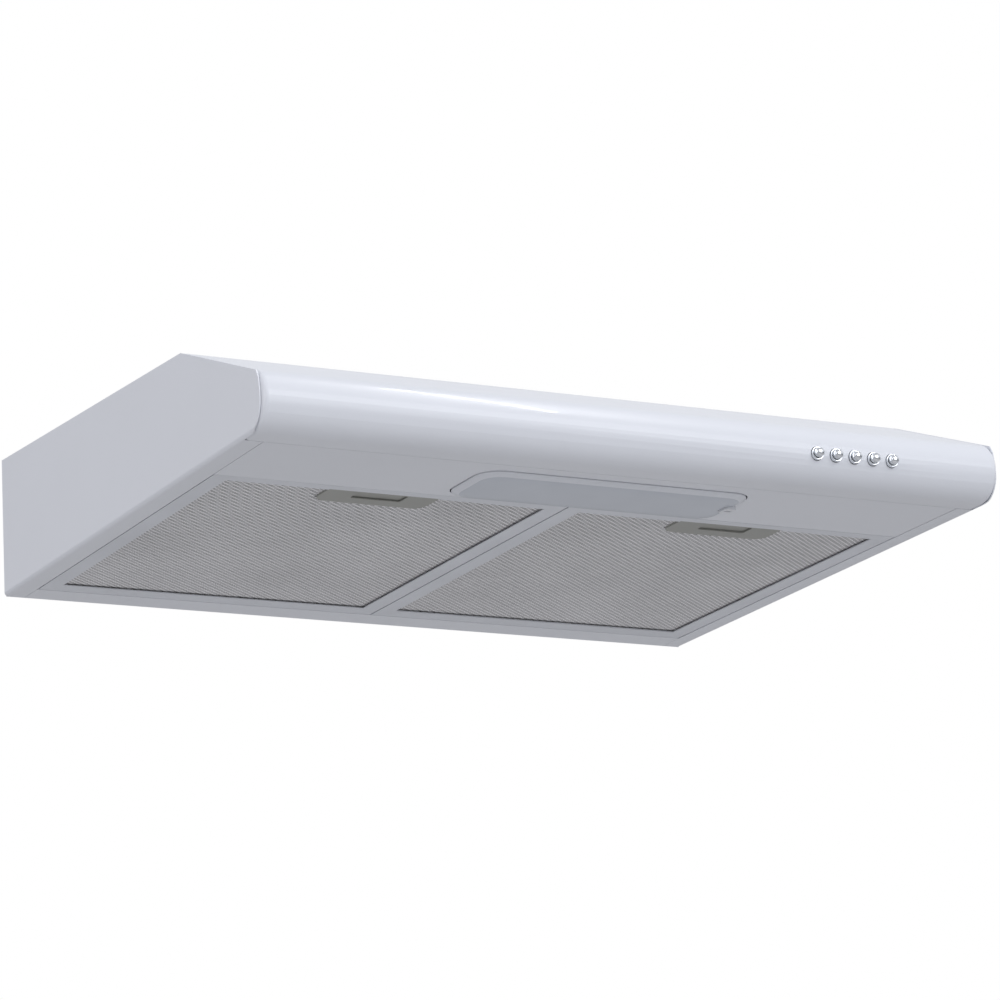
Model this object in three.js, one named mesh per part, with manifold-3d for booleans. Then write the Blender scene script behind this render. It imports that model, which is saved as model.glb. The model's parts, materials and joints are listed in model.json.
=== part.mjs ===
// Slim under cabinet range hood, 600 mm wide.
// Built in hood coordinates: X to the right as seen from the front, Y back from the seam behind the
// fascia, Z up from the flat underside. The whole group is then moved so that its origin lies on the
// rear wall face.

import * as THREE from 'three';
import { mergeVertices } from 'three/addons/utils/BufferGeometryUtils.js';
import Module from 'manifold-3d';

const wasm = await Module();
wasm.setup();

// ---- driving dimensions, mm ----
const WIDTH = 600;
const REAR_Y = 440;
const REAR_H = 108.8;
const KINK_Y = 96.5;
const KINK_Z = 91.5;
const SLOPE = THREE.MathUtils.degToRad(21.83);
const NOSE_R = 23;
const NOSE_Y = -12.6;
const SHEET = 1;
const GAP = 0.3;
const WALL_MOUNT_Z = 54.4;

const HALF = WIDTH / 2;
const INNER_X = HALF - SHEET - GAP;
const SIDE_FLANGE = 16;
const BAY_X = HALF - SIDE_FLANGE - GAP;
const LAMP_PANEL_BACK = 83.6;
const FILTER_FRONT = 84.4;
const FILTER_BACK = 413.2;
const REAR_FLANGE_Y = 413.6;
const FILTER_H = 9;

const LATCH_X = 144.5;
const LATCH_W = 88;
const LATCH_FRONT = 93.5;
const LATCH_BACK = 124;
const LATCH_R = 10;
const LATCH_SLOT = [40, 15];
const LATCH_SLOT_Y = 103.6;
const TONGUE_HALF = 15;

const COVER = { x0: -105.4, x1: 116.4, y0: 13.4, y1: 80, r: 17 };

const BUTTON_X = 173;
const BUTTON_PITCH = 16;
const BUTTON_Z = 20;
const BUTTON_R = 3.6;
const BEZEL_R = 4.9;
const BUTTON_COUNT = 5;
const BUTTON_TIP_Y = -42.2;

const DUCT_X = 0;
const DUCT_Y = 325;
const DUCT_R = 60;
const DUCT_H = 30;

const FAN_X = 150;
const FAN_Y = 240;
const SCROLL = { z0: 30, z1: 84, r0: 84, r1: 112, wall: 1.5 };
const IMPELLER_R = 75;
const BLADES = 20;

const TOP_TILT = Math.atan((REAR_H - KINK_Z) / (REAR_Y - KINK_Y));

// ---- materials ----
const paint = (color, roughness = 0.35, metalness = 0) =>
  new THREE.MeshStandardMaterial({ color, roughness, metalness });
const WHITE = () => paint(0xe4e6ee, 0.28);
const WHITE_PLASTIC = () => paint(0xdfe1e8, 0.4);
const GREY_PLASTIC = () => paint(0x87878a, 0.5);
const BLACK_PLASTIC = () => paint(0x1c1c1e, 0.55);
const RUBBER = () => paint(0x1a1a1a, 0.85);
const CHROME = () => paint(0xd8dade, 0.08, 1);
const STEEL = () => paint(0xb4b6b8, 0.35, 1);
const ALUMINIUM = () => paint(0xb9b7b2, 0.4, 1);
const GLASS = () => paint(0xf2f4f6, 0.1);
const LENS = () => paint(0xb9c4d0, 0.3);

const hood = new THREE.Group();

// ---- solids ----

function solid(geometry) {
  const bare = new THREE.BufferGeometry();
  bare.setAttribute('position', (geometry.index ? geometry.toNonIndexed() : geometry).getAttribute('position'));
  const welded = mergeVertices(bare, 1e-4);
  const points = welded.getAttribute('position').array;
  const index = welded.index.array;
  const triangles = [];
  let volume = 0;
  const corner = (i) => new THREE.Vector3().fromArray(points, 3 * i);
  for (let i = 0; i < index.length; i += 3) {
    const [a, b, c] = [index[i], index[i + 1], index[i + 2]];
    if (a === b || b === c || c === a) continue;
    triangles.push([a, b, c]);
    volume += corner(a).dot(corner(b).cross(corner(c)));
  }
  const facing = volume > 0 ? triangles : triangles.map(([a, b, c]) => [a, c, b]);
  return new wasm.Manifold(new wasm.Mesh({
    numProp: 3,
    vertProperties: new Float32Array(points),
    triVerts: new Uint32Array(facing.flat()),
  }));
}

function add(name, body, material) {
  const { vertProperties, triVerts } = body.getMesh();
  const geometry = new THREE.BufferGeometry();
  geometry.setAttribute('position', new THREE.BufferAttribute(new Float32Array(vertProperties), 3));
  geometry.setIndex(new THREE.BufferAttribute(new Uint32Array(triVerts), 1));
  const mesh = new THREE.Mesh(geometry, material);
  mesh.name = name;
  hood.add(mesh);
}

const join = (...bodies) => bodies.reduce((all, body) => all.add(body));
const cut = (body, ...tools) => tools.reduce((rest, tool) => rest.subtract(tool), body);
const mirrored = (body) => body.mirror([1, 0, 0]);

function box(x0, x1, y0, y1, z0, z1) {
  const geometry = new THREE.BoxGeometry(x1 - x0, y1 - y0, z1 - z0);
  return solid(geometry.translate((x0 + x1) / 2, (y0 + y1) / 2, (z0 + z1) / 2));
}

const TURN = {
  x: (geometry) => geometry.rotateZ(-Math.PI / 2),
  y: (geometry) => geometry,
  z: (geometry) => geometry.rotateX(Math.PI / 2),
};

// A profile of [radius, height] points turned about an axis through `at`; heights run along the axis.
function turned(profile, axis, at, segments = 24) {
  const points = profile.map(([r, h]) => new THREE.Vector2(r, h));
  const geometry = TURN[axis](new THREE.LatheGeometry(points, segments));
  return solid(geometry.translate(...at));
}

const rod = (r, h0, h1, axis, at, segments = 24) =>
  turned([[0, h0], [r, h0], [r, h1], [0, h1]], axis, at, segments);
const ring = (r0, r1, h0, h1, axis, at, segments = 32) =>
  turned([[r0, h0], [r1, h0], [r1, h1], [r0, h1], [r0, h0]], axis, at, segments);

function extruded(outline, length) {
  const shape = new THREE.Shape(outline.map(([u, v]) => new THREE.Vector2(u, v)));
  return new THREE.ExtrudeGeometry(shape, { depth: length, bevelEnabled: false });
}

// An outline of [y, z] points drawn out along X.
function prismX(outline, x0, x1) {
  const turn = new THREE.Matrix4().makeBasis(
    new THREE.Vector3(0, 1, 0), new THREE.Vector3(0, 0, 1), new THREE.Vector3(1, 0, 0));
  return solid(extruded(outline, x1 - x0).applyMatrix4(turn).translate(x0, 0, 0));
}

// An outline of [x, z] points drawn out along Y.
const prismY = (outline, y0, y1) =>
  solid(extruded(outline, y1 - y0).rotateX(Math.PI / 2).translate(0, y1, 0));

// An outline of [x, y] points drawn out along Z.
const prismZ = (outline, z0, z1) => solid(extruded(outline, z1 - z0).translate(0, 0, z0));

function arc(cx, cy, r, from, to, steps) {
  const points = [];
  for (let i = 0; i <= steps; i += 1) {
    const a = from + ((to - from) * i) / steps;
    points.push([cx + r * Math.cos(a), cy + r * Math.sin(a)]);
  }
  return points;
}

const QUARTER = Math.PI / 2;
const roundedRect = (x0, x1, y0, y1, r, steps = 5) => [
  ...arc(x1 - r, y0 + r, r, -QUARTER, 0, steps),
  ...arc(x1 - r, y1 - r, r, 0, QUARTER, steps),
  ...arc(x0 + r, y1 - r, r, QUARTER, 2 * QUARTER, steps),
  ...arc(x0 + r, y0 + r, r, 2 * QUARTER, 3 * QUARTER, steps),
];

// The path moved sideways by d, to the left of its direction of travel, with mitred corners.
function offsetPath(path, d, closed = false) {
  const count = path.length;
  const normal = (i) => {
    const [p, q] = [path[i % count], path[(i + 1) % count]];
    const length = Math.hypot(q[0] - p[0], q[1] - p[1]);
    return [-(q[1] - p[1]) / length, (q[0] - p[0]) / length];
  };
  return path.map(([u, v], i) => {
    const before = closed ? normal((i + count - 1) % count) : normal(Math.max(i - 1, 0));
    const after = closed ? normal(i) : normal(Math.min(i, count - 2));
    const scale = d / (1 + before[0] * after[0] + before[1] * after[1]);
    return [u + scale * (before[0] + after[0]), v + scale * (before[1] + after[1])];
  });
}

const ribbon = (path, thickness) => [...path, ...offsetPath(path, thickness).reverse()];

// Triangles closing a loop that is convex.
const fanCap = (count) => Array.from({ length: count - 2 }, (_, i) => [0, i + 2, i + 1]);

// Triangles closing a folded sheet's end, whose loop holds the outer points, then the inner in reverse.
const sheetCap = (count) => Array.from({ length: count / 2 - 1 }, (_, i) => [
  [i, count - 1 - i, count - 2 - i], [i, count - 2 - i, i + 1]]).flat();

// Loops of equal length joined into one closed skin, the first and last loops capped.
function loft(loops, cap = fanCap) {
  const positions = [];
  const count = loops[0].length;
  for (let k = 0; k + 1 < loops.length; k += 1) {
    for (let i = 0; i < count; i += 1) {
      const [low, high] = [loops[k], loops[k + 1]];
      const j = (i + 1) % count;
      positions.push(...low[i], ...low[j], ...high[j], ...low[i], ...high[j], ...high[i]);
    }
  }
  const last = loops[loops.length - 1];
  for (const [a, b, c] of cap(count)) {
    positions.push(...loops[0][a], ...loops[0][b], ...loops[0][c]);
    positions.push(...last[a], ...last[c], ...last[b]);
  }
  const geometry = new THREE.BufferGeometry();
  geometry.setAttribute('position', new THREE.Float32BufferAttribute(positions, 3));
  return solid(geometry);
}

// ---- shared outlines, as [y, z] ----
const slopeZ = (y, drop = 0) => KINK_Z + (y - KINK_Y) * Math.tan(SLOPE) - drop / Math.cos(SLOPE);
const topZ = (y) => KINK_Z + (y - KINK_Y) * Math.tan(TOP_TILT);

// A body modelled standing at its own origin, moved on to the sloping top sheet at x, y.
const onTop = (body, x, y) =>
  body.rotate([THREE.MathUtils.radToDeg(TOP_TILT), 0, 0]).translate([x, y, topZ(y)]);

// ---- housing ----

function frontFascia() {
  const edge = 4;
  const lip = 3;
  const steps = 4;
  const path = [
    [KINK_Y - GAP, KINK_Z - 15.5],
    [KINK_Y - GAP, slopeZ(KINK_Y - GAP)],
    ...arc(NOSE_Y, NOSE_R, NOSE_R, QUARTER + SLOPE, 3 * QUARTER, 16),
    [-GAP, 0],
    [-GAP, 10],
  ];
  const section = (x, d) => offsetPath(path, d).map(([y, z]) => [x, y, z]);
  const loopAt = (xOuter, dOuter, xInner, dInner) =>
    [...section(xOuter, dOuter), ...section(xInner, dInner).reverse()];
  const half = [];
  for (let k = 0; k <= steps; k += 1) {
    const a = (QUARTER * k) / steps;
    const [s, c] = [Math.sin(a), 1 - Math.cos(a)];
    half.push([INNER_X - edge + edge * s, edge * c, INNER_X - edge + (edge - SHEET) * s,
      SHEET + (edge - SHEET) * c]);
  }
  half.push([INNER_X, edge + lip, INNER_X - SHEET, edge + lip]);
  const loops = [
    ...half.map(([xo, d, xi, e]) => loopAt(-xo, d, -xi, e)).reverse(),
    ...half.map(([xo, d, xi, e]) => loopAt(xo, d, xi, e)),
  ];
  const holes = buttonPlaces().map((x) => rod(BEZEL_R + GAP, -45, -20, 'y', [x, 0, BUTTON_Z]));
  const vents = [0, 1, 2, 3, 4].map((i) => box(-101 + 16 * i, -89 + 16 * i, 87, 90, 75, 100));
  return cut(loft(loops, sheetCap), ...holes, ...vents);
}

function topBackShell() {
  const path = [
    [REAR_FLANGE_Y, 0],
    [REAR_Y, 0],
    [REAR_Y, REAR_H],
    [KINK_Y + GAP, topZ(KINK_Y + GAP)],
    [KINK_Y + GAP, KINK_Z - 13],
  ];
  const keyholes = [-180, 180].flatMap((x) => [
    rod(5, REAR_Y - 4, REAR_Y + 4, 'y', [x, 0, 78]),
    box(x - 2.6, x + 2.6, REAR_Y - 4, REAR_Y + 4, 78, 90),
  ]);
  const duct = onTop(rod(DUCT_R - 1, -8, 8, 'z', [0, 0, 0], 48), DUCT_X, DUCT_Y);
  const gland = onTop(rod(8, -8, 8, 'z', [0, 0, 0]), GLAND_X, GLAND_Y);
  const spigotScrews = spigotScrewPlaces().map(([x, y]) =>
    onTop(rod(2, -8, 8, 'z', [x, y, 0], 12), DUCT_X, DUCT_Y));
  const fanScrews = FAN_POSTS.map(([x, y]) => rod(2.3, topZ(y) - 8, topZ(y) + 8, 'z', [x, y, 0], 12));
  const flangeEnds = [-1, 1].map((s) =>
    box(...[s * BAY_X, s * HALF].sort((a, b) => a - b), REAR_FLANGE_Y - 5, REAR_Y - SHEET - 0.1, -5, 5));
  return cut(prismX(ribbon(path, SHEET), -INNER_X, INNER_X), ...keyholes, ...flangeEnds, duct, gland,
    ...spigotScrews, ...fanScrews);
}

function rightSidePanel() {
  const edge = 3;
  const outline = [
    ...arc(-10.5, 20.5, 20.5, -QUARTER, -2 * QUARTER, 8),
    [-31, 26],
    [-29.6, 36],
    [-26.5, slopeZ(-26.5)],
    [KINK_Y, KINK_Z],
    [REAR_Y, REAR_H],
    [REAR_Y, 0],
  ];
  const bend = [
    [HALF - SIDE_FLANGE, SHEET],
    [HALF - SIDE_FLANGE, 0],
    ...arc(HALF - edge, edge, edge, -QUARTER, 0, 4),
    [HALF, REAR_H + 5],
    [HALF - SHEET, REAR_H + 5],
    ...arc(HALF - edge, edge, edge - SHEET, 0, -QUARTER, 4),
  ];
  const sheet = prismY(bend, -40, REAR_Y + 5).intersect(prismX(outline, HALF - 40, HALF + 5));
  const upturn = box(HALF - SIDE_FLANGE, HALF - SIDE_FLANGE + SHEET, 0.6, REAR_FLANGE_Y - 14, 0.2, 10);
  const noseRelief = box(HALF - 40, HALF - SHEET - 1.2, -60, 0.3, -5, 130);
  const shellRelief = box(HALF - 40, HALF - SHEET, REAR_Y - SHEET - GAP, REAR_Y + 5, -5, 130);
  return join(cut(sheet, noseRelief, shellRelief), upturn);
}

function lampPanel() {
  const path = [[GAP, 10], [GAP, 0], [LAMP_PANEL_BACK, 0], [LAMP_PANEL_BACK, 10]];
  const { x0, x1, y0, y1, r } = COVER;
  const opening = prismZ(roundedRect(x0 - 0.9, x1 + 0.9, y0 - 0.9, y1 + 0.9, r + 0.9), -5, 5);
  return cut(prismX(ribbon(path, SHEET), 0.3 - BAY_X, BAY_X - 0.3), opening);
}

// ---- lamp ----

function lampTray() {
  const outer = box(-117, 125, 6, 82, 1.3, 42);
  const hollow = box(-116, 124, 7, 81, 0, 41);
  const cable = rod(4, 118, 130, 'x', [0, 45, 30], 12);
  return cut(outer, hollow, cable);
}

const LAMP_Y = 45;
const LAMP_Z = 23;

const lampHolder = () => turned(
  [[0, 120], [9, 120], [9, 112], [14, 112], [14, 84], [7.6, 84], [7.6, 108], [0, 108]],
  'x', [0, LAMP_Y, LAMP_Z]);

const bulbBase = () => turned(
  [[0, 84.5], [4, 84.5], [7, 82], [7, 64], [0, 64]].map(([r, h]) => [r, h + 22]), 'x', [0, LAMP_Y, LAMP_Z]);

const bulbGlass = () => turned(
  [[0, 85.7], [6.6, 85.7], [7.4, 82], [12.75, 73], ...arc(0, 30, 12.75, 0, -QUARTER, 6)]
    .map(([r, h]) => [Math.max(r, 0), h]), 'x', [0, LAMP_Y, LAMP_Z]);

function lampCover() {
  const { x0, x1, y0, y1, r } = COVER;
  const loop = (d, z) => roundedRect(x0 + d, x1 - d, y0 + d, y1 - d, r - d * 0.7).map(([x, y]) => [x, y, z]);
  const outer = loft([loop(0, 1.2), loop(0, -0.5), loop(1.2, -1.6), loop(5, -2.9), loop(13, -3.6)]);
  const inner = loft([loop(1.4, 3), loop(1.4, -0.2), loop(2.6, -0.7), loop(6, -1.7), loop(13, -2.2)]);
  const catchSeat = box(105.5, 115.5, 37, 50, -6, 0);
  return cut(outer, inner, catchSeat);
}

const lampCoverCatch = () => cut(
  prismZ(roundedRect(105.8, 115.2, 37.3, 49.7, 3, 4), -5, -1),
  box(107.5, 113.5, 42.5, 44.5, -6, -3));

// ---- push buttons ----
const buttonPlaces = () => Array.from({ length: BUTTON_COUNT },
  (_, i) => BUTTON_X + BUTTON_PITCH * (i - (BUTTON_COUNT - 1) / 2));

function buttonGuideStrip() {
  const strip = box(BUTTON_X - 41, BUTTON_X + 41, -31.4, -29, BUTTON_Z - 8, BUTTON_Z + 8);
  const places = buttonPlaces();
  const rings = places.map((x) => rod(BEZEL_R, -37, -29, 'y', [x, 0, BUTTON_Z], 20));
  const bores = places.map((x) => rod(BUTTON_R + GAP, -50, -20, 'y', [x, 0, BUTTON_Z], 20));
  return cut(join(strip, ...rings), ...bores);
}

const button = (x) => turned([
  [0, BUTTON_TIP_Y],
  [BUTTON_R * 0.5, BUTTON_TIP_Y + 0.25],
  [BUTTON_R * 0.85, BUTTON_TIP_Y + 0.9],
  [BUTTON_R, BUTTON_TIP_Y + 2.2],
  [BUTTON_R, -30],
  [3, -29],
  [3, -19],
  [0, -19],
], 'y', [x, 0, BUTTON_Z], 20);

function switchBlock() {
  const body = box(BUTTON_X - 41, BUTTON_X + 41, -25.5, -4, BUTTON_Z - 9, BUTTON_Z + 11);
  return cut(body, ...buttonPlaces().map((x) => rod(3.4, -30, -14, 'y', [x, 0, BUTTON_Z], 16)));
}

// ---- grease filters, right hand ----
const FILTER_X0 = 0.6;
const FILTER_X1 = BAY_X - 0.9;
const MESH_WINDOW = { x0: 14.5, x1: 269, y0: 95, y1: 397 };
const latchPlateOutline = (grow) => {
  const [x0, x1] = [LATCH_X - LATCH_W / 2 - grow, LATCH_X + LATCH_W / 2 + grow];
  const r = LATCH_R + grow;
  const y1 = LATCH_BACK + grow;
  return [
    [x0, LATCH_FRONT - grow],
    [x1, LATCH_FRONT - grow],
    ...arc(x1 - r, y1 - r, r, 0, QUARTER, 5),
    ...arc(x0 + r, y1 - r, r, QUARTER, 2 * QUARTER, 5),
  ];
};

const tongueWay = () =>
  box(LATCH_X - TONGUE_HALF - 1, LATCH_X + TONGUE_HALF + 1, FILTER_FRONT - 4, LATCH_FRONT + 3, 3.3, 6.4);

function filterFrame() {
  const tray = box(FILTER_X0, FILTER_X1, FILTER_FRONT, FILTER_BACK, 0.1, FILTER_H);
  const hollow = box(FILTER_X0 + SHEET, FILTER_X1 - SHEET, FILTER_FRONT + SHEET, FILTER_BACK - SHEET,
    SHEET + 0.1, 20);
  const { x0, x1, y0, y1 } = MESH_WINDOW;
  const tabs = [55, 220].map((x) => box(x, x + 18, FILTER_BACK - 0.5, FILTER_BACK + 9, 1.4, 2.6));
  const latch = prismZ(latchPlateOutline(GAP), -5, 20);
  return cut(join(cut(tray, hollow, box(x0, x1, y0, y1, -5, 5)), ...tabs), latch, tongueWay());
}

function filterMesh() {
  const inset = SHEET + GAP;
  const slab = box(FILTER_X0 + inset, FILTER_X1 - inset, FILTER_FRONT + inset, FILTER_BACK - inset, 2.6, 8);
  return cut(slab, prismZ(latchPlateOutline(GAP), -5, 20), tongueWay());
}

function latchPlate() {
  const body = prismZ(latchPlateOutline(0), 0.6, 8);
  const hollow = prismZ(roundedRect(LATCH_X - 42, LATCH_X + 42, LATCH_FRONT + 1.5, LATCH_BACK - 2, 6), 1.8, 12);
  const [w, l] = LATCH_SLOT;
  const slot = prismZ(
    roundedRect(LATCH_X - w / 2, LATCH_X + w / 2, LATCH_SLOT_Y - l / 2, LATCH_SLOT_Y + l / 2, 2, 3), -5, 5);
  return cut(body, hollow, slot, tongueWay());
}

function latchSlider() {
  const pull = box(LATCH_X - 26, LATCH_X + 26, LATCH_SLOT_Y - 5, LATCH_SLOT_Y + 9.5, 2.1, 6);
  const body = box(LATCH_X - 26, LATCH_X + 26, LATCH_FRONT + 2, LATCH_SLOT_Y, 3.6, 6);
  const tongue = box(
    LATCH_X - TONGUE_HALF, LATCH_X + TONGUE_HALF, LAMP_PANEL_BACK + 0.4, LATCH_FRONT + 3, 3.6, 6);
  return join(pull, body, tongue);
}

// ---- fan ----

// The volute widens from the tongue round to the duct, which runs left under the outlet.
function scrollOutline() {
  const [from, to] = [(125 * Math.PI) / 180, (450 * Math.PI) / 180];
  const steps = 26;
  const spiral = [];
  for (let i = 0; i <= steps; i += 1) {
    const r = SCROLL.r0 + ((SCROLL.r1 - SCROLL.r0) * i) / steps;
    const a = from + ((to - from) * i) / steps;
    spiral.push([FAN_X + r * Math.cos(a), FAN_Y + r * Math.sin(a)]);
  }
  return [...spiral, [70, 388], [-68, 388], [-68, 262], [52, 262], [97, 311.5]];
}

const FAN_POSTS = [[-60, 270], [-60, 380], [225, 300], [150, 158]];

function scrollHousing() {
  const outline = scrollOutline();
  const { z0, z1, wall } = SCROLL;
  const neckTop = topZ(DUCT_Y - DUCT_R) - 2.2;
  const shell = cut(prismZ(outline, z0, z1), prismZ(offsetPath(outline, wall, true), z0 + wall, z1 - wall));
  const posts = FAN_POSTS.map(([x, y]) => rod(5, z1 - 1, topZ(y) - 1.9, 'z', [x, y, 0], 12));
  const neck = rod(DUCT_R + 1.2, z1 - 1, neckTop, 'z', [DUCT_X, DUCT_Y, 0], 40);
  const outlet = rod(DUCT_R - 1, z1 - 4, neckTop + 5, 'z', [DUCT_X, DUCT_Y, 0], 40);
  const inlet = rod(55, z0 - 4, z0 + 4, 'z', [FAN_X, FAN_Y, 0], 40);
  const pilots = FAN_POSTS.map(([x, y]) => rod(2, z1 + 1, topZ(y) + 1, 'z', [x, y, 0], 12));
  return cut(join(shell, ...posts, neck), outlet, inlet, ...pilots);
}

function inletGuard() {
  const at = [FAN_X, FAN_Y, 0];
  const rings = [18, 36].map((r) => ring(r - 1, r + 1, 27, 29.2, 'z', at, 20));
  const rim = ring(57, 63, 27, 29.7, 'z', at, 24);
  const bars = [0, 60, 120].map((a) => box(-60, 60, -1, 1, 27, 29.2).rotate([0, 0, a]).translate(at));
  return join(rim, ...rings, ...bars);
}

const motorCan = () => turned([
  [0, 82.2], [30, 82.2], [39, 80], [39, 54], [34, 49.6], [3.4, 49.6], [3.4, 64], [0, 64],
], 'z', [FAN_X, FAN_Y, 0], 32);

const motorShaft = () => rod(2.9, 39, 63.6, 'z', [FAN_X, FAN_Y, 0], 16);

function impeller() {
  const at = [FAN_X, FAN_Y, 0];
  const hat = turned([
    [3.2, 46.2], [44, 46.2], [44, 77.6], [IMPELLER_R, 77.6], [IMPELLER_R, 79.2], [42.4, 79.2],
    [42.4, 47.8], [3.2, 47.8], [3.2, 46.2],
  ], 'z', at, 40);
  const rim = ring(61, IMPELLER_R, 36, 37.5, 'z', at, 40);
  const blade = box(62, 74.5, -0.7, 0.7, 37, 78);
  const blades = Array.from({ length: BLADES }, (_, i) =>
    blade.translate([-68, 0, 0]).rotate([0, 0, 35]).translate([68, 0, 0])
      .rotate([0, 0, (360 * i) / BLADES]).translate(at));
  return join(hat, rim, ...blades);
}

const impellerNut = () => turned(
  [[3.7, 41.5], [7.5, 41.5], [7.5, 45.9], [3.7, 45.9], [3.7, 41.5]], 'z', [FAN_X, FAN_Y, 0], 6);

const capacitor = () => rod(12, -190, -148, 'x', [0, 200, topZ(200) - 14], 24);

// ---- outlet ----
const spigotScrewPlaces = () => [45, 135, 225, 315].map((a) => {
  const t = THREE.MathUtils.degToRad(a);
  return [67.5 * Math.cos(t), 67.5 * Math.sin(t)];
});

function outletSpigot() {
  const tube = turned([
    [DUCT_R - 1, GAP], [DUCT_R + 14, GAP], [DUCT_R + 14, 1.8], [DUCT_R + 0.4, 1.8],
    [DUCT_R, DUCT_H], [DUCT_R - 1.2, DUCT_H], [DUCT_R - 1, GAP],
  ], 'z', [0, 0, 0], 48);
  const holes = spigotScrewPlaces().map(([x, y]) => rod(2, -5, 8, 'z', [x, y, 0], 12));
  const pinSeats = [-1, 1].map((s) => box(-3.5, 3.5, s * 59.4 - 2.2, s * 59.4 + 2.2, FLAP_Z - 3.5, FLAP_Z + 3.5)
    .intersect(rod(DUCT_R - 0.4, 0, DUCT_H, 'z', [0, 0, 0], 48)));
  const pinBore = rod(1.5, -DUCT_R + 0.8, DUCT_R - 0.8, 'y', [0, 0, FLAP_Z], 12);
  return onTop(cut(join(tube, ...pinSeats), ...holes, pinBore), DUCT_X, DUCT_Y);
}

const FLAP_Z = 9;
const flapPin = () => onTop(rod(1.2, -DUCT_R + 1.1, DUCT_R - 1.1, 'y', [0, 0, FLAP_Z], 12), DUCT_X, DUCT_Y);

// A half disc with two knuckles round the pin; the two flaps' knuckles alternate along it.
function flap(side, knuckles) {
  const disc = prismZ([...arc(0, 0, 56.6, -1.5, 1.5, 24)], FLAP_Z - 0.6, FLAP_Z + 0.6);
  const barrels = knuckles.map((y) => join(
    rod(2.8, y - 5, y + 5, 'y', [0, 0, FLAP_Z], 12), box(1.8, 5, y - 5, y + 5, FLAP_Z - 0.6, FLAP_Z + 0.6)));
  const bore = rod(1.5, -60, 60, 'y', [0, 0, FLAP_Z], 12);
  const body = cut(join(cut(disc, box(-5, 3.4, -60, 60, 0, 20)), ...barrels), bore);
  return onTop(side > 0 ? body : mirrored(body), DUCT_X, DUCT_Y);
}

// ---- wiring ----
const GLAND_X = -170;
const GLAND_Y = 400;
const TERMINAL = { x0: -200, x1: -140, y0: 374, y1: 432, z0: 62, z1: 98 };

const cableGland = () => onTop(turned([
  [3.6, -3.6], [10.5, -3.6], [10.5, -1.4], [7.6, -1.4], [7.6, 0.5], [10.5, 0.5], [8.4, 5], [3.6, 5], [3.6, -3.6],
], 'z', [0, 0, 0]), GLAND_X, GLAND_Y);

function terminalBox() {
  const { x0, x1, y0, y1, z0, z1 } = TERMINAL;
  const cable = rod(5, z1 - 5, z1 + 5, 'z', [GLAND_X, GLAND_Y, 0], 16);
  const leads = rod(4, x1 - 5, x1 + 5, 'x', [0, 400, 78], 12);
  return cut(box(x0, x1, y0, y1, z0, z1), box(x0 + 2, x1 - 2, y0 + 2, y1 - 2, z0 - 2, z1 - 2), cable, leads);
}

const terminalCover = () => {
  const { x0, x1, y0, y1, z0 } = TERMINAL;
  return join(box(x0, x1, y0, y1, z0 - 2.3, z0 - GAP),
    box(x0 + 2.4, x1 - 2.4, y0 + 2.4, y1 - 2.4, z0 - 2.3, z0 + 1));
};

const terminalStrip = () => cut(box(-190, -150, 382, 396, 66, 78),
  ...[-183, -170, -157].map((x) => rod(2, 70, 82, 'z', [x, 389, 0], 10)));

// ---- screws ----
const screw = (length, r = 1.7) => turned([
  [0, -length], [r * 0.6, -length], [r, 1 - length], [r, 0], [r * 2.2, 0], [r * 2.1, 1], [r * 1.2, 1.7], [0, 1.7],
], 'z', [0, 0, 0], 12);

// ---- assembly ----
add('top_back_shell', topBackShell(), WHITE());
add('right_side_panel', rightSidePanel(), WHITE());
add('left_side_panel', mirrored(rightSidePanel()), WHITE());
add('front_fascia', frontFascia(), WHITE());
add('lamp_panel', lampPanel(), WHITE());

add('lamp_tray', lampTray(), STEEL());
add('lamp_holder', lampHolder(), WHITE_PLASTIC());
add('bulb_base', bulbBase(), STEEL());
add('bulb_glass', bulbGlass(), GLASS());
add('lamp_cover', lampCover(), LENS());
add('lamp_cover_catch', lampCoverCatch(), WHITE_PLASTIC());

add('switch_block', switchBlock(), BLACK_PLASTIC());
add('button_guide_strip', buttonGuideStrip(), CHROME());
buttonPlaces().forEach((x, i) => add(`button_${i + 1}`, button(x), CHROME()));

for (const [side, place] of [['right', (body) => body], ['left', mirrored]]) {
  add(`filter_${side}_frame`, place(filterFrame()), ALUMINIUM());
  add(`filter_${side}_mesh`, place(filterMesh()), ALUMINIUM());
  add(`filter_${side}_latch_plate`, place(latchPlate()), GREY_PLASTIC());
  add(`filter_${side}_latch_slider`, place(latchSlider()), GREY_PLASTIC());
}

add('scroll_housing', scrollHousing(), WHITE_PLASTIC());
add('inlet_guard', inletGuard(), BLACK_PLASTIC());
add('motor_can', motorCan(), STEEL());
add('motor_shaft', motorShaft(), STEEL());
add('impeller', impeller(), BLACK_PLASTIC());
add('impeller_nut', impellerNut(), STEEL());
add('capacitor', capacitor(), WHITE_PLASTIC());

add('outlet_spigot', outletSpigot(), BLACK_PLASTIC());
add('flap_pin', flapPin(), STEEL());
add('flap_right', flap(1, [-36, 24]), BLACK_PLASTIC());
add('flap_left', flap(-1, [-24, 36]), BLACK_PLASTIC());

add('cable_gland', cableGland(), RUBBER());
add('terminal_box', terminalBox(), BLACK_PLASTIC());
add('terminal_box_cover', terminalCover(), BLACK_PLASTIC());
add('terminal_strip', terminalStrip(), WHITE_PLASTIC());

spigotScrewPlaces().forEach(([x, y], i) =>
  add(`spigot_screw_${i + 1}`, onTop(screw(6).translate([x, y, 2.1]), DUCT_X, DUCT_Y), STEEL()));
FAN_POSTS.forEach(([x, y], i) =>
  add(`fan_screw_${i + 1}`, screw(10).translate([x, y, topZ(y) + 0.6]), STEEL()));

hood.position.set(0, -REAR_Y, -WALL_MOUNT_Z);
hood.updateMatrixWorld(true);

export default hood;
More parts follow.
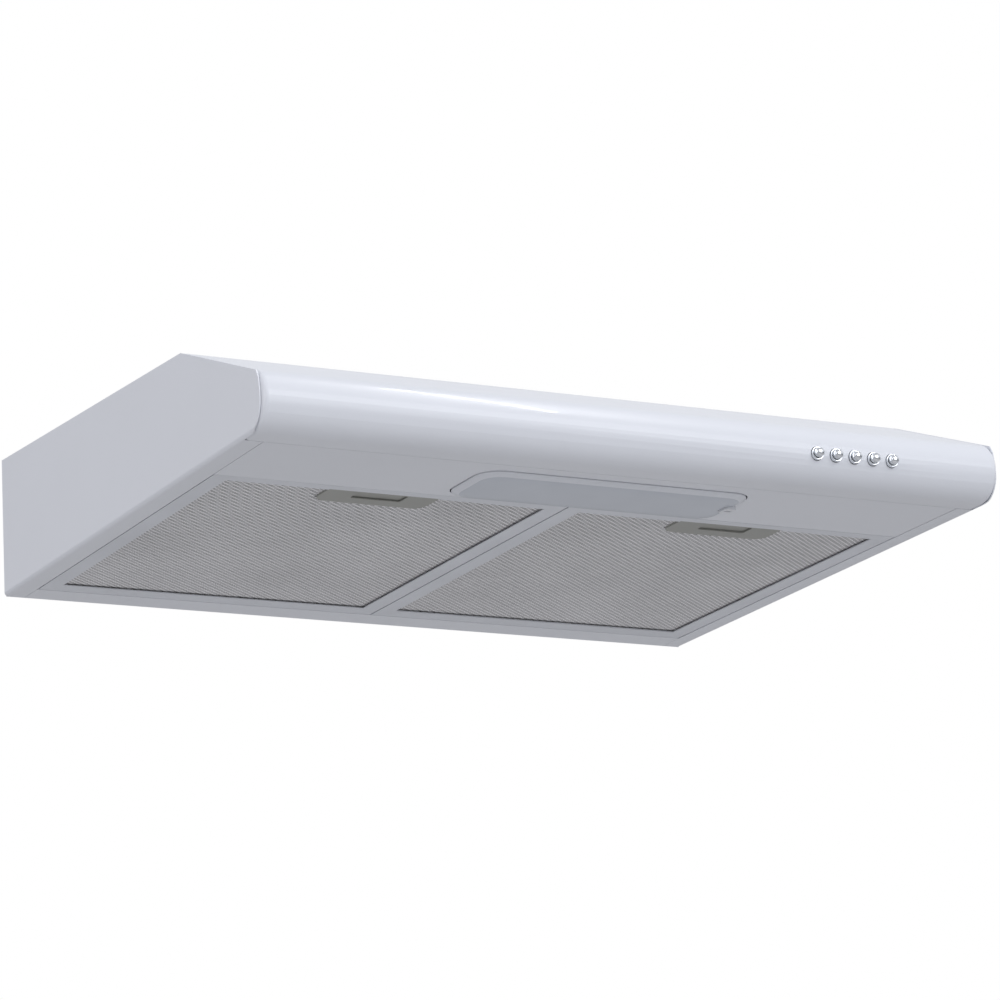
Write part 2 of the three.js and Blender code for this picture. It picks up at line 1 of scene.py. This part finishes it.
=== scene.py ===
"""Under cabinet range hood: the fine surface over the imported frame.

Lengths are in metres, in the row frame: X right, Y into the wall, Z up. Only the camera's focal length
and sensor are in millimetres. Pieces take their places from the CAD nodes' meshes and boxes.
"""
import json
import math

import bmesh
import bpy
from mathutils import Matrix, Vector


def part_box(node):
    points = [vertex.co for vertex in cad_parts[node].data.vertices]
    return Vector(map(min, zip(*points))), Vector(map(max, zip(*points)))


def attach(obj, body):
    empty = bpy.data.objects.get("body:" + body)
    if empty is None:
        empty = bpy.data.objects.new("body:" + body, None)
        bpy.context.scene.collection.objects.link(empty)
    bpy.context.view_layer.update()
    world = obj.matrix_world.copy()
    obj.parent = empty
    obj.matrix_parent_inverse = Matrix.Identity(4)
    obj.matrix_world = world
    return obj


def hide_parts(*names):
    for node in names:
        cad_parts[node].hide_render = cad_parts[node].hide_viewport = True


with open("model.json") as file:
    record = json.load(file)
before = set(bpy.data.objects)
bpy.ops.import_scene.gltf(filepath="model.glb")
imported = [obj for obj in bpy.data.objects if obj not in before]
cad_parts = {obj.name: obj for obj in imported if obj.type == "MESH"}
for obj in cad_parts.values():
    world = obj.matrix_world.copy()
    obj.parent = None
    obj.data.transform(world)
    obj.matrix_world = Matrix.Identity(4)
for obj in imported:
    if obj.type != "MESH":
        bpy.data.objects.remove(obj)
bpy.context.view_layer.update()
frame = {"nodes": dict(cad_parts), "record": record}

MM = 0.001

# ---- camera, fitted to the hood's own edges; angles in radians ----
CAMERA_AT = (-1.47585, -2.95894, -0.88066)
CAMERA_YAW = 0.49917
CAMERA_PITCH = 0.27204
CAMERA_ROLL = -0.05394
CAMERA_FOCAL = 153.06
SENSOR = 36.0
CLIP_END = 60

# ---- edges of the refined CAD nodes ----
MERGE_DISTANCE = 1e-6
FLAT_DEGREES = 0.6
SHARP_DEGREES = 32.0
EDGE_SEGMENTS = 2
EDGE_WIDTHS = {
    "front_fascia": 0.25 * MM,
    "left_side_panel": 0.3 * MM,
    "right_side_panel": 0.3 * MM,
    "top_back_shell": 0.3 * MM,
    "lamp_panel": 0.25 * MM,
    "lamp_cover_catch": 0.6 * MM,
    "button_guide_strip": 0.2 * MM,
    "outlet_spigot": 0.25 * MM,
    "cable_gland": 0.4 * MM,
    "flap_left": 0.3 * MM,
    "flap_right": 0.3 * MM,
    "impeller": 0.2 * MM,
    "scroll_housing": 0.3 * MM,
}
FILTER_EDGE_WIDTHS = {"frame": 0.25 * MM, "latch_plate": 0.35 * MM, "latch_slider": 0.3 * MM}
LAMP_COVER_EDGE_WIDTH = 0.3 * MM

# ---- noise and coat of the painted, metal and plastic finishes ----
NOISE_ROUGHNESS = 0.55
DRIFT_SCALE = 14.0
DRIFT_STOPS = (0.3, 0.7)
COAT_ROUGHNESS = 0.06

# ---- expanded mesh: zigzag strands, each a low ridge that stands off the slab's face ----
STRAND_PITCH = 6.0 * MM
STRAND_ROW = 2.4 * MM
STRAND_WIDTH = 1.0 * MM
STRAND_RIDGE = 0.22 * MM
STRAND_EDGE_DROP = 0.12 * MM
STANDOFF_AT_FAR_BEND = 0.10 * MM
STANDOFF_AT_NEAR_BEND = 0.45 * MM
STRAND_SHARP_DEGREES = 60.0
MESH_INSET = 2.0 * MM
MESH_REAR_INSET = 12.0 * MM
LATCH_LAP = 3.2 * MM

# ---- lamp cover: the lens lies below this height over the cover's lowest point, the rim above ----
LENS_CROWN = 0.95 * MM

# ---- push buttons: widths and dome height as shares of the cap's radius ----
BUTTON_COUNT = 5
DOME_HEIGHT = 0.55
DOME_WIDTH = 0.93
DOME_STEPS = 8
GROOVE_WIDTH = 0.86
STEM_WIDTH = 0.64
CAP_SHARE_OF_DEPTH = 0.5
GROOVE_LIP = 0.3 * MM
GROOVE_START = 0.5 * MM
GROOVE_END = 0.8 * MM
SHOULDER_START = 1.0 * MM
STEM_CHAMFER = 0.6 * MM
LATHE_SEGMENTS = 32

# ---- studio ----
FLOOR_REACH = 14.0
FLOOR_Z = -2.4
SKY = [(0.0, (0.40, 0.41, 0.43)), (0.42, (0.40, 0.405, 0.42)), (0.52, (0.16, 0.165, 0.18)),
       (0.60, (0.62, 0.63, 0.66)), (0.72, (0.80, 0.81, 0.84)), (1.0, (0.52, 0.53, 0.56))]

BODY_OF = {node: body for body, nodes in frame["record"]["behaviour"]["bodies"].items() for node in nodes}


# ---- material nodes ----

def new_material(name):
    material = bpy.data.materials.new(name)
    material.use_nodes = True
    tree = material.node_tree
    return material, tree, tree.nodes["Principled BSDF"]


def noise(tree, scale, detail=4.0, stretch=(1, 1, 1)):
    place = tree.nodes.new("ShaderNodeTexCoord")
    mapping = tree.nodes.new("ShaderNodeMapping")
    mapping.inputs["Scale"].default_value = stretch
    tree.links.new(place.outputs["Object"], mapping.inputs["Vector"])
    node = tree.nodes.new("ShaderNodeTexNoise")
    node.inputs["Scale"].default_value = scale
    node.inputs["Detail"].default_value = detail
    node.inputs["Roughness"].default_value = NOISE_ROUGHNESS
    tree.links.new(mapping.outputs["Vector"], node.inputs["Vector"])
    return node.outputs["Fac"]


def ramp(tree, value, stops):
    node = tree.nodes.new("ShaderNodeValToRGB")
    elements = node.color_ramp.elements
    while len(elements) < len(stops):
        elements.new(0.5)
    for element, (position, colour) in zip(elements, stops):
        element.position = position
        element.color = (*colour, 1.0)
    tree.links.new(value, node.inputs["Fac"])
    return node.outputs["Color"]


def drifting(tree, value, dark, light):
    """Slow drift between two colours that are close to each other."""
    return ramp(tree, value, list(zip(DRIFT_STOPS, (dark, light))))


def span(tree, value, low, high, start=0.0):
    """Stretches `value`, from `start` to 1, to run from `low` to `high`."""
    node = tree.nodes.new("ShaderNodeMapRange")
    node.inputs["From Min"].default_value = start
    node.inputs["To Min"].default_value = low
    node.inputs["To Max"].default_value = high
    tree.links.new(value, node.inputs["Value"])
    return node.outputs["Result"]


def bump(tree, shader, height, strength, distance):
    node = tree.nodes.new("ShaderNodeBump")
    node.inputs["Strength"].default_value = strength
    node.inputs["Distance"].default_value = distance
    tree.links.new(height, node.inputs["Height"])
    tree.links.new(node.outputs["Normal"], shader.inputs["Normal"])


def shade(colour, factor):
    return tuple(min(1.0, c * factor) for c in colour)


# ---- materials ----

def surface(name, colour, roughness, metallic=0.0, vary=0.03, grain=900.0, bump_mm=0.02, strength=0.15,
            coat=0.0, stretch=(1, 1, 1), roughness_span=0.06):
    """A finish with slow colour drift, a fine surface grain and drifting gloss."""
    material, tree, shader = new_material(name)
    drift = noise(tree, DRIFT_SCALE, detail=3.0)
    tree.links.new(drifting(tree, drift, shade(colour, 1 - vary), shade(colour, 1 + vary)),
                   shader.inputs["Base Color"])
    fine = noise(tree, grain, detail=3.0, stretch=stretch)
    tree.links.new(span(tree, fine, roughness - roughness_span, roughness + roughness_span),
                   shader.inputs["Roughness"])
    bump(tree, shader, fine, strength, bump_mm * MM)
    shader.inputs["Metallic"].default_value = metallic
    shader.inputs["Coat Weight"].default_value = coat
    shader.inputs["Coat Roughness"].default_value = COAT_ROUGHNESS
    return material


def lens_material():
    """Frosted lens: bluish grey plastic, a little glossier in places, with a soft moulded ripple."""
    material, tree, shader = new_material("frosted_lens")
    drift = noise(tree, scale=22.0, detail=2.0)
    tree.links.new(drifting(tree, drift, dark=(0.54, 0.57, 0.625), light=(0.575, 0.605, 0.66)),
                   shader.inputs["Base Color"])
    tree.links.new(span(tree, drift, 0.31, 0.37), shader.inputs["Roughness"])
    ripple = noise(tree, scale=60.0, detail=1.0, stretch=(1, 0.2, 1))
    bump(tree, shader, ripple, strength=0.05, distance=0.05 * MM)
    shader.inputs["IOR"].default_value = 1.49
    shader.inputs["Coat Weight"].default_value = 0.3
    shader.inputs["Coat Roughness"].default_value = 0.1
    return material


def glass_material():
    """Clear bulb glass with a faint haze that comes and goes."""
    material, tree, shader = new_material("lamp_glass")
    shader.inputs["Base Color"].default_value = (0.95, 0.96, 0.97, 1)
    shader.inputs["Transmission Weight"].default_value = 0.9
    shader.inputs["IOR"].default_value = 1.5
    tree.links.new(span(tree, noise(tree, scale=300.0), 0.02, 0.09), shader.inputs["Roughness"])
    return material


MATERIALS = {
    "paint": surface("white_gloss_enamel", (0.75, 0.765, 0.81), 0.315, vary=0.008, grain=9.0,
                     bump_mm=0.01, strength=0.02, coat=0.2, roughness_span=0.015),
    "white_plastic": surface("white_plastic", (0.72, 0.73, 0.76), 0.4, vary=0.02, grain=1300.0),
    "grey_plastic": surface("grey_moulded_plastic", (0.32, 0.32, 0.295), 0.42, vary=0.05, grain=2600.0,
                            bump_mm=0.03, strength=0.3),
    "black_plastic": surface("black_moulded_plastic", (0.018, 0.018, 0.02), 0.48, vary=0.12, grain=2000.0,
                             bump_mm=0.03, strength=0.3),
    "rubber": surface("black_rubber", (0.012, 0.012, 0.012), 0.8, vary=0.15, grain=1500.0, strength=0.3),
    "chrome": surface("polished_chrome", (0.80, 0.82, 0.85), 0.09, metallic=1.0, vary=0.01, grain=300.0,
                      strength=0.02, roughness_span=0.04),
    "steel": surface("zinc_plated_steel", (0.52, 0.53, 0.54), 0.36, metallic=1.0, vary=0.12, grain=260.0,
                     strength=0.1, stretch=(1, 1, 6)),
    "aluminium": surface("aluminium_frame", (0.71, 0.725, 0.765), 0.42, metallic=0.3, vary=0.04,
                         grain=500.0, strength=0.06, stretch=(1, 8, 8)),
    "strand": surface("expanded_aluminium", (0.95, 0.94, 0.95), 0.36, metallic=0.22, vary=0.05,
                      grain=1200.0, strength=0.1),
    # painted shade: the filter's slab is near-black to stand for the aluminium layers deep in the filter,
    # which look dark only because they lie in shade
    "painted_shade_backing": surface("mesh_layers_in_painted_shade", (0.08, 0.079, 0.083), 0.5, metallic=0.4, vary=0.2,
                       grain=900.0, strength=0.4),
    "lens_rim": surface("lens_rim_plastic", (0.72, 0.735, 0.78), 0.32, vary=0.015, grain=700.0,
                        strength=0.05),
    "lens": lens_material(),
    "glass": glass_material(),
}


def wears(name):
    """The finish of each CAD node."""
    if name in ("top_back_shell", "left_side_panel", "right_side_panel", "front_fascia", "lamp_panel"):
        return "paint"
    if name.startswith("button"):
        return "chrome"
    if name.startswith("filter"):
        if "latch" in name:
            return "grey_plastic"
        # the filter's slab wears near-black painted shade between the light strands
        return "painted_shade_backing" if name.endswith("mesh") else "aluminium"
    if name in ("lamp_holder", "lamp_cover_catch", "scroll_housing", "capacitor", "terminal_strip"):
        return "white_plastic"
    if name in ("switch_block", "inlet_guard", "impeller", "outlet_spigot", "flap_left", "flap_right",
                "terminal_box", "terminal_box_cover"):
        return "black_plastic"
    return {"lamp_cover": "lens", "bulb_glass": "glass", "cable_gland": "rubber"}.get(name, "steel")


def paint_on(obj, key):
    obj.data.materials.clear()
    obj.data.materials.append(MATERIALS[key])


# ---- mesh helpers ----

def finish_mesh(name, bm, key, body, sharp_degrees=SHARP_DEGREES):
    mesh = bpy.data.meshes.new(name)
    bm.normal_update()
    bm.to_mesh(mesh)
    bm.free()
    for polygon in mesh.polygons:
        polygon.use_smooth = True
    mesh.set_sharp_from_angle(angle=math.radians(sharp_degrees))
    obj = bpy.data.objects.new(name, mesh)
    bpy.context.scene.collection.objects.link(obj)
    paint_on(obj, key)
    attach(obj, body)
    return obj


def round_edges(obj, width):
    modifier = obj.modifiers.new("edge_round", "BEVEL")
    modifier.width = width
    modifier.segments = EDGE_SEGMENTS
    modifier.limit_method = "ANGLE"
    modifier.angle_limit = math.radians(SHARP_DEGREES)
    modifier.harden_normals = True
    modifier.use_clamp_overlap = True


def refined(node, edge_width):
    """The CAD node's shape with its facets merged, its curves smooth and its edges rounded."""
    bm = bmesh.new()
    bm.from_mesh(frame["nodes"][node].data)
    bmesh.ops.remove_doubles(bm, verts=bm.verts, dist=MERGE_DISTANCE)
    bmesh.ops.dissolve_limit(bm, angle_limit=math.radians(FLAT_DEGREES), verts=bm.verts, edges=bm.edges)
    obj = finish_mesh(node + "_fine", bm, wears(node), BODY_OF[node])
    round_edges(obj, edge_width)
    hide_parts(node)
    return obj


def add_lathe(bm, profile, centre, axis):
    """Rings of (radius, distance along axis) round `centre`, capped where a radius is 0."""
    axis = Vector(axis).normalized()
    side = axis.orthogonal().normalized()
    other = axis.cross(side)
    angles = [2 * math.pi * i / LATHE_SEGMENTS for i in range(LATHE_SEGMENTS)]
    rings = []
    for radius, along in profile:
        middle = Vector(centre) + axis * along
        if radius == 0:
            rings.append([bm.verts.new(middle)])
            continue
        rings.append([bm.verts.new(middle + (side * math.cos(a) + other * math.sin(a)) * radius)
                      for a in angles])
    for low, high in zip(rings, rings[1:]):
        for i in range(LATHE_SEGMENTS):
            j = (i + 1) % LATHE_SEGMENTS
            corners = [low[i % len(low)], low[j % len(low)], high[j % len(high)], high[i % len(high)]]
            unique = list(dict.fromkeys(corners))
            if len(unique) > 2:
                bm.faces.new(unique)


# ---- grease filters ----

def strand_section(bm, x, y, z, outward):
    """Across a strand: its two edges, with the ridge between them."""
    edge_z = z - outward * STRAND_EDGE_DROP
    return [bm.verts.new((x, y - STRAND_WIDTH / 2, edge_z)),
            bm.verts.new((x, y, z + outward * STRAND_RIDGE)),
            bm.verts.new((x, y + STRAND_WIDTH / 2, edge_z))]


def add_strand(bm, row, columns, start, face, outward, covered):
    """One zigzag strand along X, on the slab's face at height `face`, broken where it is `covered`."""
    previous = None
    for column in range(columns):
        x = start.x + column * STRAND_PITCH / 2
        far_bend = (row + column) % 2
        y = start.y + row * STRAND_ROW + (STRAND_ROW / 2 if far_bend else -STRAND_ROW / 2)
        if covered(x, y):
            previous = None
            continue
        standoff = STANDOFF_AT_FAR_BEND if far_bend else STANDOFF_AT_NEAR_BEND
        current = strand_section(bm, x, y, face + outward * standoff, outward)
        if previous:
            bm.faces.new((previous[0], previous[1], current[1], current[0]))
            bm.faces.new((previous[1], previous[2], current[2], current[1]))
        previous = current


def expanded_mesh(side):
    """Expanded aluminium over both faces of the filter's slab, left open under the latch plate."""
    frame_low, frame_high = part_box(f"filter_{side}_frame")
    latch_low, latch_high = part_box(f"filter_{side}_latch_plate")
    mesh_low, mesh_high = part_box(f"filter_{side}_mesh")

    def under_latch(x, y):
        return (latch_low.x + LATCH_LAP < x < latch_high.x - LATCH_LAP
                and latch_low.y < y < latch_high.y - LATCH_LAP)

    start = Vector((frame_low.x + MESH_INSET, frame_low.y + MESH_INSET, 0))
    columns = int((frame_high.x - MESH_INSET - start.x) / (STRAND_PITCH / 2))
    rows = int((frame_high.y - MESH_REAR_INSET - start.y) / STRAND_ROW)
    bm = bmesh.new()
    for row in range(rows):
        for face, outward in ((mesh_low.z, -1), (mesh_high.z, 1)):
            add_strand(bm, row, columns, start, face, outward, under_latch)
    obj = finish_mesh(f"filter_{side}_expanded_mesh", bm, "strand", f"filter_{side}", STRAND_SHARP_DEGREES)


def grease_filter(side):
    for part, edge_width in FILTER_EDGE_WIDTHS.items():
        refined(f"filter_{side}_{part}", edge_width)
    expanded_mesh(side)


# ---- lamp cover ----

def lamp_cover_piece():
    """The frosted lens inside its plain rim, moulded as one piece."""
    obj = refined("lamp_cover", LAMP_COVER_EDGE_WIDTH)
    obj.data.materials.append(MATERIALS["lens_rim"])
    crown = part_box("lamp_cover")[0].z + LENS_CROWN
    for polygon in obj.data.polygons:
        if polygon.center.z > crown:
            polygon.material_index = 1


# ---- push buttons ----

def button_profile(radius, depth):
    """From the middle of the dome, over the groove round its shoulder, back along the stem."""
    dome = DOME_HEIGHT * radius
    skirt = depth * CAP_SHARE_OF_DEPTH
    profile = [(0, 0)]
    for step in range(1, DOME_STEPS + 1):
        angle = math.pi / 2 * step / DOME_STEPS
        profile.append((radius * DOME_WIDTH * math.sin(angle), dome * (1 - math.cos(angle))))
    return profile + [
        (radius * DOME_WIDTH, dome + GROOVE_LIP),
        (radius * GROOVE_WIDTH, dome + GROOVE_START),
        (radius * GROOVE_WIDTH, dome + GROOVE_END),
        (radius, dome + SHOULDER_START),
        (radius, skirt),
        (radius * STEM_WIDTH, skirt + STEM_CHAMFER),
        (radius * STEM_WIDTH, depth),
        (0, depth),
    ]


def button_piece(index):
    """A domed chrome cap with a shallow groove round its shoulder."""
    low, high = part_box(f"button_{index}")
    front = ((low.x + high.x) / 2, low.y, (low.z + high.z) / 2)
    bm = bmesh.new()
    add_lathe(bm, button_profile((high.x - low.x) / 2, high.y - low.y), front, axis=(0, 1, 0))
    obj = finish_mesh(f"button_{index}_cap", bm, "chrome", f"button_{index}")
    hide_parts(f"button_{index}")


# ---- camera, lights and floor ----

def camera():
    data = bpy.data.cameras.new("camera")
    data.lens = CAMERA_FOCAL
    data.sensor_width = SENSOR
    data.clip_end = CLIP_END
    obj = bpy.data.objects.new("camera", data)
    bpy.context.scene.collection.objects.link(obj)
    cos_pitch = math.cos(CAMERA_PITCH)
    forward = Vector((math.sin(CAMERA_YAW) * cos_pitch, math.cos(CAMERA_YAW) * cos_pitch,
                      math.sin(CAMERA_PITCH)))
    level = Vector((math.cos(CAMERA_YAW), -math.sin(CAMERA_YAW), 0))
    upright = level.cross(forward)
    right = level * math.cos(CAMERA_ROLL) + upright * math.sin(CAMERA_ROLL)
    up = upright * math.cos(CAMERA_ROLL) - level * math.sin(CAMERA_ROLL)
    turn = Matrix((right, up, -forward)).transposed()
    obj.matrix_world = Matrix.Translation(CAMERA_AT) @ turn.to_4x4()
    bpy.context.scene.camera = obj


def area_light(name, at, towards, size, power, colour=(1, 1, 1), along=(1, 0, 0)):
    """A soft light whose first side runs as nearly in the `along` direction as its aim allows."""
    data = bpy.data.lights.new(name, "AREA")
    data.shape = "RECTANGLE"
    data.size, data.size_y = size
    data.energy = power
    data.color = colour
    obj = bpy.data.objects.new(name, data)
    bpy.context.scene.collection.objects.link(obj)
    back = (Vector(at) - Vector(towards)).normalized()
    up = back.cross(Vector(along)).normalized()
    turn = Matrix((up.cross(back), up, back)).transposed()
    obj.matrix_world = Matrix.Translation(at) @ turn.to_4x4()


def lights():
    area_light("softbox_front", at=(0.7, -4.0, 1.1), towards=(0, -0.3, 0), size=(3.4, 2.6), power=62,
               colour=(0.93, 0.955, 1.0))
    area_light("softbox_left", at=(-3.6, -1.4, 0.5), towards=(-0.3, -0.2, 0), size=(2.0, 2.0), power=22,
               colour=(0.97, 0.96, 1.0))
    area_light("strip_highlight", at=(1.0, -1.14, 2.4), towards=(-0.2, -0.47, 0), size=(1.5, 0.035),
               power=12, along=(0.4, -1.48, -0.43))


def backdrop():
    """White to the camera; what lights and reflects is the SKY, dimmest just above the horizon."""
    world = bpy.data.worlds.new("studio")
    bpy.context.scene.world = world
    world.use_nodes = True
    tree = world.node_tree
    behind = tree.nodes["Background"]
    behind.inputs["Color"].default_value = (1, 1, 1, 1)
    behind.inputs["Strength"].default_value = 1.0
    sky = tree.nodes.new("ShaderNodeBackground")
    place = tree.nodes.new("ShaderNodeTexCoord")
    split = tree.nodes.new("ShaderNodeSeparateXYZ")
    tree.links.new(place.outputs["Generated"], split.inputs["Vector"])
    height = span(tree, split.outputs["Z"], 0.0, 1.0, start=-1.0)
    tree.links.new(ramp(tree, height, SKY), sky.inputs["Color"])
    rays = tree.nodes.new("ShaderNodeLightPath")
    mix = tree.nodes.new("ShaderNodeMixShader")
    tree.links.new(rays.outputs["Is Camera Ray"], mix.inputs["Fac"])
    tree.links.new(sky.outputs["Background"], mix.inputs[1])
    tree.links.new(behind.outputs["Background"], mix.inputs[2])
    tree.links.new(mix.outputs["Shader"], tree.nodes["World Output"].inputs["Surface"])


def floor():
    bm = bmesh.new()
    corners = [bm.verts.new((x * FLOOR_REACH, y * FLOOR_REACH, FLOOR_Z))
               for x, y in ((-1, -1), (1, -1), (1, 1), (-1, 1))]
    bm.faces.new(corners)
    mesh = bpy.data.meshes.new("floor")
    bm.to_mesh(mesh)
    bm.free()
    obj = bpy.data.objects.new("floor", mesh)
    bpy.context.scene.collection.objects.link(obj)
    obj.data.materials.append(surface("pale_floor", (0.61, 0.605, 0.60), 0.6, vary=0.01))


def studio():
    bpy.context.scene.view_settings.view_transform = "Standard"
    backdrop()
    lights()
    floor()


# ---- assembly ----

for node_name, edge_width in EDGE_WIDTHS.items():
    refined(node_name, edge_width)
for side_name in ("left", "right"):
    grease_filter(side_name)
for number in range(1, BUTTON_COUNT + 1):
    button_piece(number)
for node_name, node_object in frame["nodes"].items():
    paint_on(node_object, wears(node_name))

lamp_cover_piece()
camera()
studio()
